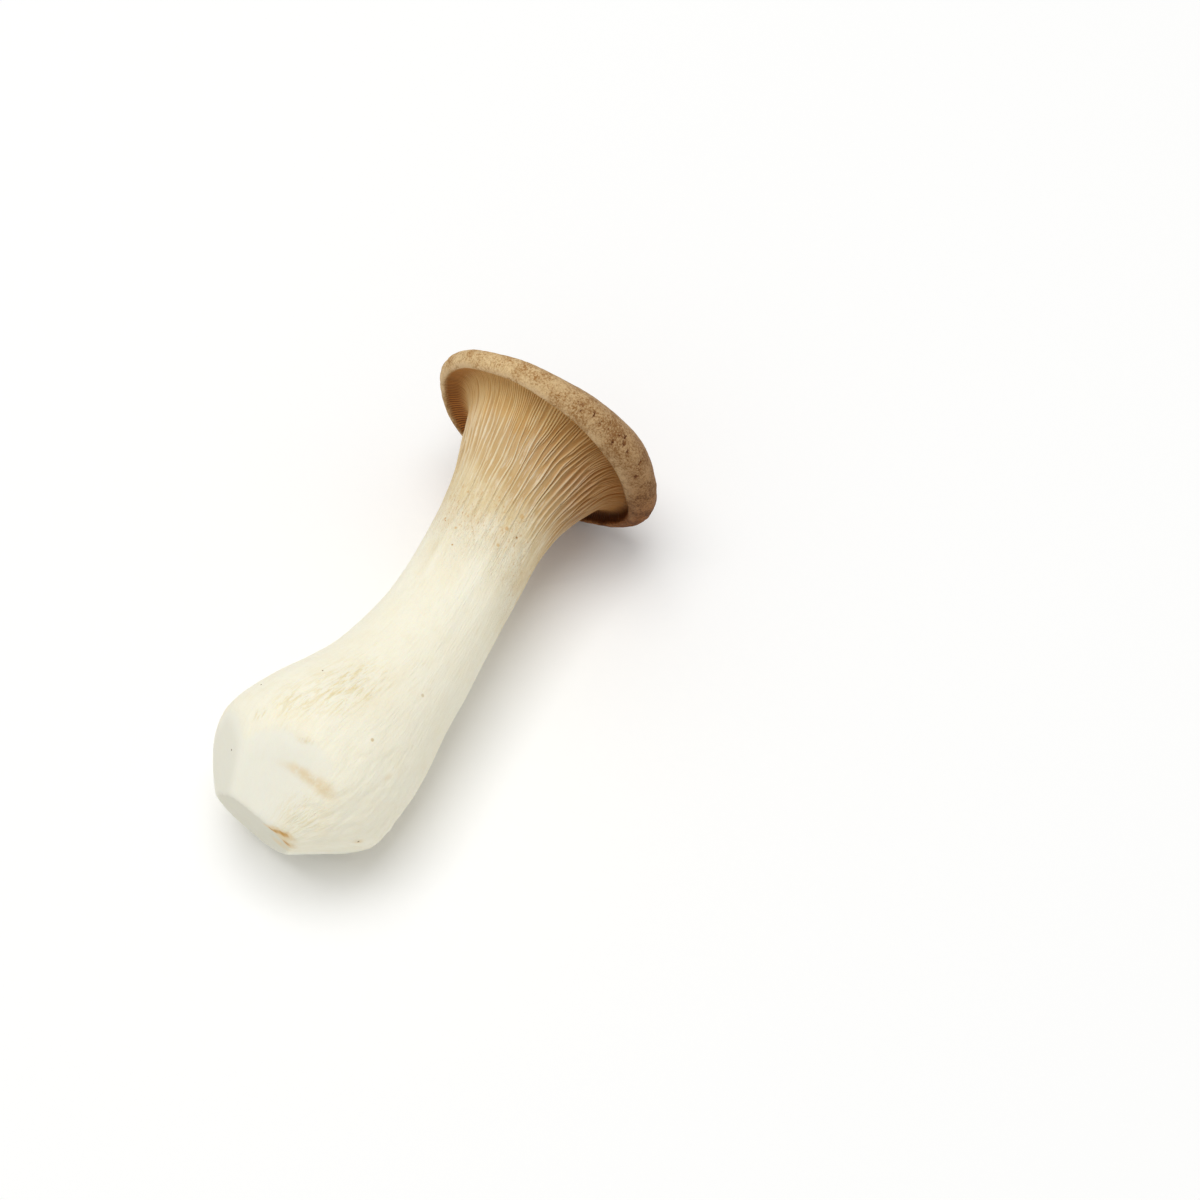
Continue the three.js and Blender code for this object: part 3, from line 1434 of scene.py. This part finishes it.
    def bump(self, height: Socket, depth: float, under: Socket | None = None) -> Socket:
        """Tilts the surface's shading as a relief would.

        Args:
            height: The relief, from 0 to 1.
            depth: How deep the relief is, in mm.
            under: A relief that it lies on.

        Returns:
            The normal.
        """
        inputs = {"Height": height, "Distance": depth * MILLIMETRE, "Strength": 1.0}
        if under is not None:
            inputs["Normal"] = under
        return self.node("Bump", inputs).outputs["Normal"]


@dataclass(frozen=True)
class Speck:
    """A dot on the skin.

    Attributes:
        side: Its angle round the axis before the gills stray, in degrees from +Y.
        path: Its distance along the outline, in mm.
        radius: Its radius, in mm.
        colour: Its colour.
        core: How much of its radius has the full colour.
    """

    side: float
    path: float
    radius: float
    colour: Triple
    core: float = 0.4


Stops = tuple[tuple[float, Triple], ...]


@dataclass(frozen=True)
class MushroomFinish:
    """The flesh, the gills and the cap's skin, blended by the mesh's marks.

    Colours are screen colours. A pair of numbers says where something begins and where it
    is full, on the scale of the mark or the noise that it reads. The mark "fade" is 0 in
    the hollow behind the lip and 1 where the gills' tan ends on the stem.
    """

    # Painted shade is part of these colours: between the gills, in the hollow behind the lip, on the
    # right-hand and under sides, and on the last cuts.
    flesh: Triple = (250, 245, 226)
    flesh_warm: Triple = (245, 234, 204)
    flesh_cut: Triple = (246, 245, 232)
    # The last cuts' colour: the fresh cut's own grey, darkened further as painted shade because those
    # faces look away from the lamp.
    end_cut_grey_and_shade: Triple = (229, 226, 208)
    gill_edges: Stops = (
        (0.0, (236, 195, 128)), (0.12, (234, 205, 148)), (0.26, (236, 218, 180)),
        (0.5, (231, 212, 168)), (0.62, (239, 224, 189)), (0.75, (245, 236, 208)),
        (1.0, (250, 245, 224)),
    )
    # The gills' faces between the ridges: their tan is darkened as painted shade in the valleys.
    shaded_gill_sides: Stops = (
        (0.0, (212, 162, 88)), (0.12, (213, 176, 114)), (0.26, (210, 180, 128)),
        (0.5, (202, 166, 108)), (0.62, (222, 196, 152)), (0.75, (240, 226, 194)),
        (1.0, (250, 245, 224)),
    )
    # The hollow behind the lip: the gills' own brown darkened as painted shade, deepest on the
    # right-hand and under sides.
    hollow_shade_edges: Triple = (174, 100, 28)
    hollow_shade_sides: Triple = (92, 38, 0)
    hollow_deep_shade: Triple = (64, 26, 6)
    # Dark brown for the gills' fine hairs, and for the painted shade on their right-hand and under
    # sides.
    gill_hairs_and_far_shade: Triple = (150, 85, 14)
    lip: Triple = (216, 186, 144)
    rim_light: Triple = (228, 199, 150)
    # The cap's edge in two copies: rim_light and rim_dark as it looks when lit, and a darker copy
    # painted as shade.
    rim_dark: Triple = (168, 120, 64)
    shaded_rim_light: Triple = (134, 76, 22)
    shaded_rim_dark: Triple = (68, 28, 0)
    crown_light: Triple = (196, 163, 128)
    crown_dark: Triple = (146, 108, 76)
    crown_blotch: Triple = (150, 100, 56)
    pit: Triple = (118, 66, 22)
    crack: Triple = (88, 50, 24)
    freckle: Triple = (208, 164, 104)
    brown_stain: Triple = (236, 217, 178)
    crease: Triple = (206, 158, 84)
    yellow_stain: Triple = (236, 220, 172)

    threads: Cloud = Cloud(2.4, 3.0, 0.6, along=0.07, shows=(0.5, 0.75), share=0.35)
    warm_clouds: Cloud = Cloud(60.0, shows=(0.45, 0.75), share=0.3)
    warm_start: Pair = (0.5, 1.0)
    blots: Cloud = Cloud(160.0, 3.0, 0.6)
    ragged_threads: float = 0.36
    ragged_blots: float = 0.5
    ragged_start: Pair = (0.0, 0.3)
    hairs: Cloud = Cloud(3.6, 3.0, 0.65, along=0.02, shows=(0.42, 0.6), share=0.34)
    ridge_sides: Pair = (0.85, 0.15)
    valley_shade_start: Pair = (0.0, 0.4)
    valley_shade_least: float = 0.65
    far_shade_end: Pair = (0.65, 0.0)
    far_shade_share: float = 0.8
    hollow_shade_least: float = 0.35
    hollow_shaded: float = 0.6
    hollow_ridges: Pair = (0.1, 0.8)
    hollow_dark: Pair = (0.65, 1.0)
    flakes: Cloud = Cloud(2.6, 5.0, 0.65, 0.2, along=0.06, shows=(0.52, 0.64), share=0.36)
    flakes_early: float = 0.25
    flakes_start: Pair = (0.33, 0.5)
    flakes_end: Pair = (0.95, 0.7)
    freckles: Cloud = Cloud(3.4, 4.0, 0.7, 0.8, along=0.3, shows=(0.54, 0.66), share=0.7)
    freckles_start: Pair = (0.4, 0.55)
    freckles_end: Pair = (0.85, 0.65)
    cut_share: float = 0.85

    streaks: Cloud = Cloud(2.6, 4.0, 0.65, 0.5, along=0.09, shows=(0.42, 0.66))
    smears: Cloud = Cloud(500.0, 4.0, 0.65, shows=(0.15, 0.6))
    smear_start: Pair = (0.0, 0.6)
    crease_start: Pair = (0.6, 0.95)

    grain: Cloud = Cloud(1900.0, 3.0, 0.75)
    patches: Cloud = Cloud(210.0, 4.0, 0.6, shows=(0.42, 0.58), share=0.65)
    grain_share: float = 0.75
    patch_share: float = 0.45
    rim_tone: Pair = (0.45, 0.73)
    lip_least: float = 0.2
    lip_shaded: float = 0.9
    rays: Cloud = Cloud(3.2, 4.0, 0.6, along=0.12)
    velvet: Cloud = Cloud(3600.0, 2.0, 0.7)
    ray_share: float = 0.3
    velvet_share: float = 0.4
    crown_tone: Pair = (0.38, 0.74)
    blotches: Cloud = Cloud(75.0, 5.0, 0.65, 0.8, shows=(0.48, 0.7), share=0.75)
    cracks: Cloud = Cloud(5.0, 2.0, 0.6, 0.8, along=0.24)
    crack_share: float = 2.0
    pit_start: Pair = (0.62, 0.95)
    pit_share: float = 0.72
    crack_start: Pair = (0.92, 1.1)

    skin_threads: Cloud = Cloud(3.0, 3.0, 0.6, along=0.08)
    thread_depth: float = 0.24
    pared_share: float = 0.8
    streak_depth: float = 0.4
    fringe: Cloud = Cloud(4.0, 4.0, 0.65, 0.5, along=0.12)
    fringe_start: Pair = (0.35, 0.6)
    fringe_end: Pair = (1.0, 0.7)
    fringe_depth: float = 0.32
    skin_grain: Cloud = Cloud(1500.0, 3.0, 0.7)
    grain_depth: float = 0.3
    roughness: float = 0.45
    rougher_skin: float = 0.22
    rougher_threads: float = 0.16
    gloss: float = 0.15
    glow: float = 0.12
    glow_reach: Triple = (1.0, 0.75, 0.45)
    glow_depth: float = 1.5

    specks: tuple[Speck, ...] = (
        Speck(46.7, 24.5, 0.34, (130, 96, 70)),
        Speck(70.5, 53.2, 0.26, (120, 88, 56)),
        Speck(42.2, 43.7, 0.30, (112, 80, 52)),
        Speck(175.6, 26.0, 0.34, (90, 60, 36)),
        Speck(126.7, 44.5, 0.60, (222, 204, 168)),
        Speck(51.1, 107.0, 0.55, (222, 190, 140)),
        Speck(53.6, 106.4, 0.34, (206, 162, 104)),
        Speck(133.9, 111.9, 0.40, (176, 132, 80)),
        Speck(77.8, 100.6, 0.36, (210, 172, 116)),
        Speck(119.4, 107.0, 0.60, (224, 194, 144)),
        Speck(127.2, 116.8, 0.90, (220, 186, 134)),
        Speck(72.2, 105.1, 0.50, (228, 198, 150)),
        Speck(118.9, 111.9, 0.70, (220, 188, 138)),
        Speck(134.4, 63.1, 0.60, (226, 212, 180)),
    )

    def flesh_colour(self, g: Graph) -> Socket:
        """The stem's colour, fading through tan into the gills.

        Args:
            g: The material's nodes.

        Returns:
            The colour.
        """
        fade, ridge, strength, shade = (g.mark(name) for name in ("fade", "ridge", "gills", "shade"))
        threads = g.cloud(self.threads)
        blots = g.times(g.cloud(self.blots), self.ragged_blots)
        middle = (self.ragged_threads + self.ragged_blots) / 2
        ragged = g.plus(g.times(threads, self.ragged_threads), blots, -middle)
        uneven = g.plus(fade, g.times(ragged, g.between(fade, *self.ragged_start)))
        sides = g.ramp(uneven, self.shaded_gill_sides)
        sides = g.mix(g.times(g.shown(self.hairs), strength), sides, self.gill_hairs_and_far_shade)
        # Painted shade between the gills: the faces below the ridges take the darker ramp, more where
        # the gills are strong.
        depth = g.plus(g.times(strength, 1 - self.valley_shade_least), self.valley_shade_least)
        depth = g.times(g.between(strength, *self.valley_shade_start), depth)
        valley = g.times(g.between(ridge, *self.ridge_sides), depth)
        gills = g.mix(valley, g.ramp(uneven, self.gill_edges), sides)
        # Painted shade: the gills near the hollow are darkened on the right-hand and under sides.
        deep = g.times(g.between(fade, *self.far_shade_end), shade, self.far_shade_share)
        gills = g.mix(deep, gills, self.gill_hairs_and_far_shade)
        # Painted shade in the hollow behind the lip, over the gills' own brown: lighter along the
        # ridges, and deeper where the side table is dark.
        lines = g.mix(g.between(ridge, *self.hollow_ridges), self.hollow_shade_sides, self.hollow_shade_edges)
        lines = g.mix(g.between(shade, *self.hollow_dark), lines, self.hollow_deep_shade)
        dim = g.plus(g.times(shade, self.hollow_shaded), self.hollow_shade_least)
        gills = g.mix(g.times(g.mark("hollow"), dim), gills, lines)
        early = g.plus(fade, g.times(g.without(shade), self.flakes_early))
        torn = g.times(g.between(early, *self.flakes_start), g.between(fade, *self.flakes_end))
        gills = g.mix(g.times(torn, g.shown(self.flakes)), gills, self.flesh)
        dotted = g.times(g.between(fade, *self.freckles_start), g.between(fade, *self.freckles_end))
        gills = g.mix(g.times(dotted, g.shown(self.freckles)), gills, self.freckle)
        warm = g.plus(g.shown(self.threads, threads), g.shown(self.warm_clouds))
        stem = g.mix(g.times(warm, g.between(fade, *self.warm_start)), gills, self.flesh_warm)
        smooth = g.times(g.mark("cut"), g.without(g.mark("worn")), self.cut_share)
        stem = g.mix(smooth, stem, self.flesh_cut)
        # The last cuts greyer and darker: their own cut grey with painted shade.
        return g.mix(g.mark("end"), stem, self.end_cut_grey_and_shade)

    def stained(self, g: Graph, colour: Socket) -> Socket:
        """The flesh with its smears, its streaked patches and its brown creases.

        Args:
            g: The material's nodes.
            colour: The colour under them.

        Returns:
            The colour with them.
        """
        brown, yellow = g.marks("stain")[: Mark.PIT.value]
        colour = g.mix(g.times(yellow, g.shown(self.streaks)), colour, self.yellow_stain)
        smeared = g.times(g.between(brown, *self.smear_start), g.shown(self.smears))
        colour = g.mix(smeared, colour, self.brown_stain)
        return g.mix(g.between(brown, *self.crease_start), colour, self.crease)

    def speckled(self, g: Graph, colour: Socket, mushroom: "Mushroom") -> Socket:
        """The colour with its dots, each at its own place on the skin.

        Args:
            g: The material's nodes.
            colour: The colour under them.
            mushroom: What they sit on.

        Returns:
            The colour with them.
        """
        for speck in self.specks:
            inputs = {0: g.place(), 1: mushroom.on_skin(speck.side, speck.path)}
            distance = g.node("VectorMath", inputs, operation="DISTANCE").outputs["Value"]
            edge, core = speck.radius * MILLIMETRE, speck.radius * speck.core * MILLIMETRE
            colour = g.mix(g.between(distance, edge, core), colour, speck.colour)
        return colour

    def cap_colour(self, g: Graph) -> Socket:
        """The grainy skin of the cap's edge, and the crown's radial fibres.

        Args:
            g: The material's nodes.

        Returns:
            The colour.
        """
        grain, patches = g.cloud(self.grain), g.cloud(self.patches)
        tone = g.plus(g.times(grain, self.grain_share), g.times(patches, self.patch_share))
        tone = g.between(tone, *self.rim_tone)
        # Lit and painted-shade copies of the edge's mottled skin, joined by the side table.
        lit = g.mix(tone, self.rim_dark, self.rim_light)
        under = g.mix(tone, self.shaded_rim_dark, self.shaded_rim_light)
        rim = g.mix(g.mark("rim_shade"), lit, under)
        # The lip's pale band dims where the painted shade lies.
        bright = g.without(g.times(g.mark("rim_shade"), self.lip_shaded))
        ragged = g.plus(g.shown(self.patches, patches), self.lip_least)
        rim = g.mix(g.times(g.mark("lip"), ragged, bright), rim, self.lip)
        velvet = g.times(g.plus(g.cloud(self.velvet), grain), self.velvet_share)
        velvet = g.plus(velvet, g.times(g.cloud(self.rays), self.ray_share))
        crown = g.mix(g.between(velvet, *self.crown_tone), self.crown_dark, self.crown_light)
        crown = g.mix(g.shown(self.blotches), crown, self.crown_blotch)
        skin = g.mix(g.mark("crown"), rim, crown)
        cracks = g.times(g.plus(g.cloud(self.cracks), -0.5), self.crack_share)
        pits = g.plus(g.marks("stain")[Mark.PIT.value], cracks)
        pitted = g.times(g.between(pits, *self.pit_start), self.pit_share)
        skin = g.mix(pitted, skin, self.pit)
        return g.mix(g.between(pits, *self.crack_start), skin, self.crack)

    def made(self, mushroom: "Mushroom") -> bpy.types.Material:
        """Builds the material.

        Args:
            mushroom: What it dresses.

        Returns:
            One Principled material.
        """
        g = Graph("mushroom_flesh")
        skin, cut, fade = (g.mark(name) for name in ("skin", "cut", "fade"))
        flesh = self.stained(g, self.flesh_colour(g))
        colour = g.mix(skin, flesh, self.cap_colour(g))
        colour = self.speckled(g, colour, mushroom)
        threads = g.cloud(self.skin_threads)
        pared = g.times(cut, g.without(g.mark("worn")), self.pared_share)
        relief = g.bump(g.times(threads, g.without(g.plus(skin, pared))), self.thread_depth)
        torn = g.times(g.marks("stain")[Mark.YELLOW.value], g.cloud(self.streaks))
        relief = g.bump(torn, self.streak_depth, relief)
        frayed = g.times(g.between(fade, *self.fringe_start), g.between(fade, *self.fringe_end))
        frayed = g.times(frayed, g.plus(g.cloud(self.fringe), -0.5))
        relief = g.bump(frayed, self.fringe_depth, relief)
        relief = g.bump(g.times(g.cloud(self.skin_grain), skin), self.grain_depth, relief)
        rough = g.plus(g.times(skin, self.rougher_skin), g.times(threads, self.rougher_threads))
        sockets = g.shader.inputs
        g.tree.links.new(colour, sockets["Base Color"])
        g.tree.links.new(relief, sockets["Normal"])
        g.tree.links.new(g.plus(rough, self.roughness), sockets["Roughness"])
        sockets["Specular IOR Level"].default_value = self.gloss
        sockets["Subsurface Weight"].default_value = self.glow
        sockets["Subsurface Radius"].default_value = self.glow_reach
        sockets["Subsurface Scale"].default_value = self.glow_depth * MILLIMETRE
        return g.material


# The studio.


@dataclass(frozen=True)
class Lamp:
    """One square softbox: the way to it, how far and how big it is, and its power."""

    name: str
    way: Triple
    distance: float
    side: float
    power: float
    colour: Triple = (1.0, 1.0, 1.0)


@dataclass(frozen=True)
class Studio:
    """A pale table, soft light and the camera.

    Attributes:
        azimuth: The camera's angle round the mushroom, in radians from -Y.
        elevation: Its angle above the table, in radians.
        lens: Its focal length, in mm.
        sensor: Its sensor's width, in mm.
        clip: The nearest and the farthest that it sees, in metres.
        image_side: The picture's side, in pixels.
        lip_pixel: Where in the picture the middle of the lip's ring is.
        pixels_per_mm: The picture's scale there.
        table_colour: The table's screen colour.
        table_roughness: How matt the table is.
        table_gloss: How strongly it reflects.
        table_half: Half of its side, in metres.
        surround: How bright the light from all round is.
        lamps: The softboxes.
    """

    azimuth: float = math.radians(-57.2)
    elevation: float = math.radians(56.3)
    lens: float = 100.0
    sensor: float = 36.0
    clip: Pair = (0.01, 20.0)
    image_side: float = 1200.0
    lip_pixel: Pair = (540.5, 450.5)
    pixels_per_mm: float = 4.0
    table_colour: Triple = (255, 255, 254)
    table_roughness: float = 0.9
    table_gloss: float = 0.1
    table_half: float = 3.0
    surround: float = 0.5
    lamps: tuple[Lamp, ...] = (Lamp("overhead", (0.0, 0.12, 1.0), 2.6, 1.8, 39.0),)

    def back(self) -> Vector:
        """The direction from the mushroom to the camera.

        Returns:
            A direction of length 1, turned from -Y by the azimuth and raised by the
            elevation.
        """
        flat = math.cos(self.elevation)
        across, away = math.sin(self.azimuth), -math.cos(self.azimuth)
        return Vector((across * flat, away * flat, math.sin(self.elevation)))

    def camera(self, lip: Vector) -> bpy.types.Object:
        """Makes the camera that sees the middle of the lip at its own pixel.

        The focal length in pixels, over the wanted pixels per mm, gives the distance.
        The camera is then turned so that the lip's ray passes through its pixel.

        Args:
            lip: The middle of the lip's ring.

        Returns:
            The camera.
        """
        focal = self.image_side * self.lens / self.sensor
        back = self.back()
        right = Vector((0, 0, 1)).cross(back).normalized()
        up = back.cross(right)
        half = self.image_side / 2
        ray = Vector((self.lip_pixel[0] - half, half - self.lip_pixel[1], -focal)).normalized()
        turn = ray.rotation_difference(Vector((0, 0, -1))).to_matrix()
        axes = Matrix((right, up, back)).transposed() @ turn
        data = bpy.data.cameras.new("camera")
        data.lens, data.sensor_width = self.lens, self.sensor
        data.clip_start, data.clip_end = self.clip
        camera = bpy.data.objects.new("camera", data)
        place = lip + back * (focal / self.pixels_per_mm * MILLIMETRE)
        camera.matrix_world = Matrix.Translation(place) @ axes.to_4x4()
        bpy.context.scene.collection.objects.link(camera)
        bpy.context.scene.camera = camera
        return camera

    def table(self) -> bpy.types.Object:
        """Makes the table.

        Returns:
            One flat square on the floor, in its finish.
        """
        half = self.table_half
        corners = [(x * half, y * half, 0.0) for x, y in ((-1, -1), (1, -1), (1, 1), (-1, 1))]
        mesh = bpy.data.meshes.new("table")
        mesh.from_pydata(corners, [], [(0, 1, 2, 3)])
        table = bpy.data.objects.new("table", mesh)
        bpy.context.scene.collection.objects.link(table)
        g = Graph("table")
        sockets = g.shader.inputs
        sockets["Base Color"].default_value = linear_colour(self.table_colour)
        sockets["Roughness"].default_value = self.table_roughness
        sockets["Specular IOR Level"].default_value = self.table_gloss
        mesh.materials.append(g.material)
        return table

    def light(self) -> None:
        """Lights the set: a bright surround, and softboxes that look at the mushroom."""
        world = bpy.data.worlds.new("surround")
        bpy.context.scene.world = world
        world.use_nodes = True
        background = world.node_tree.nodes["Background"]
        background.inputs["Color"].default_value = (1.0, 1.0, 1.0, 1.0)
        background.inputs["Strength"].default_value = self.surround
        for lamp in self.lamps:
            data = bpy.data.lights.new(lamp.name, "AREA")
            data.size, data.energy, data.color = lamp.side, lamp.power, lamp.colour
            hung = bpy.data.objects.new(lamp.name, data)
            way = Vector(lamp.way).normalized()
            hung.location = way * lamp.distance
            hung.rotation_mode = "QUATERNION"
            hung.rotation_quaternion = (-way).to_track_quat("-Z", "Y")
            bpy.context.scene.collection.objects.link(hung)
        scene = bpy.context.scene
        scene.view_settings.view_transform = "Standard"
        scene.view_settings.look = "None"


def main() -> None:
    """Builds the mushroom, its finish and the studio."""
    mushroom = Mushroom()
    piece = mushroom.build()
    piece.data.materials.append(MushroomFinish().made(mushroom))
    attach(piece, BODY)
    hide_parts(NODE)
    studio = Studio()
    middle_of_lip = np.array([[mushroom.bow_to, 0.0, 0.0]])
    studio.camera(Vector(mushroom.in_frame(middle_of_lip)[0].tolist()))
    studio.table()
    studio.light()


if __name__ == "__main__":
    logging.basicConfig(level=logging.INFO)
    main()
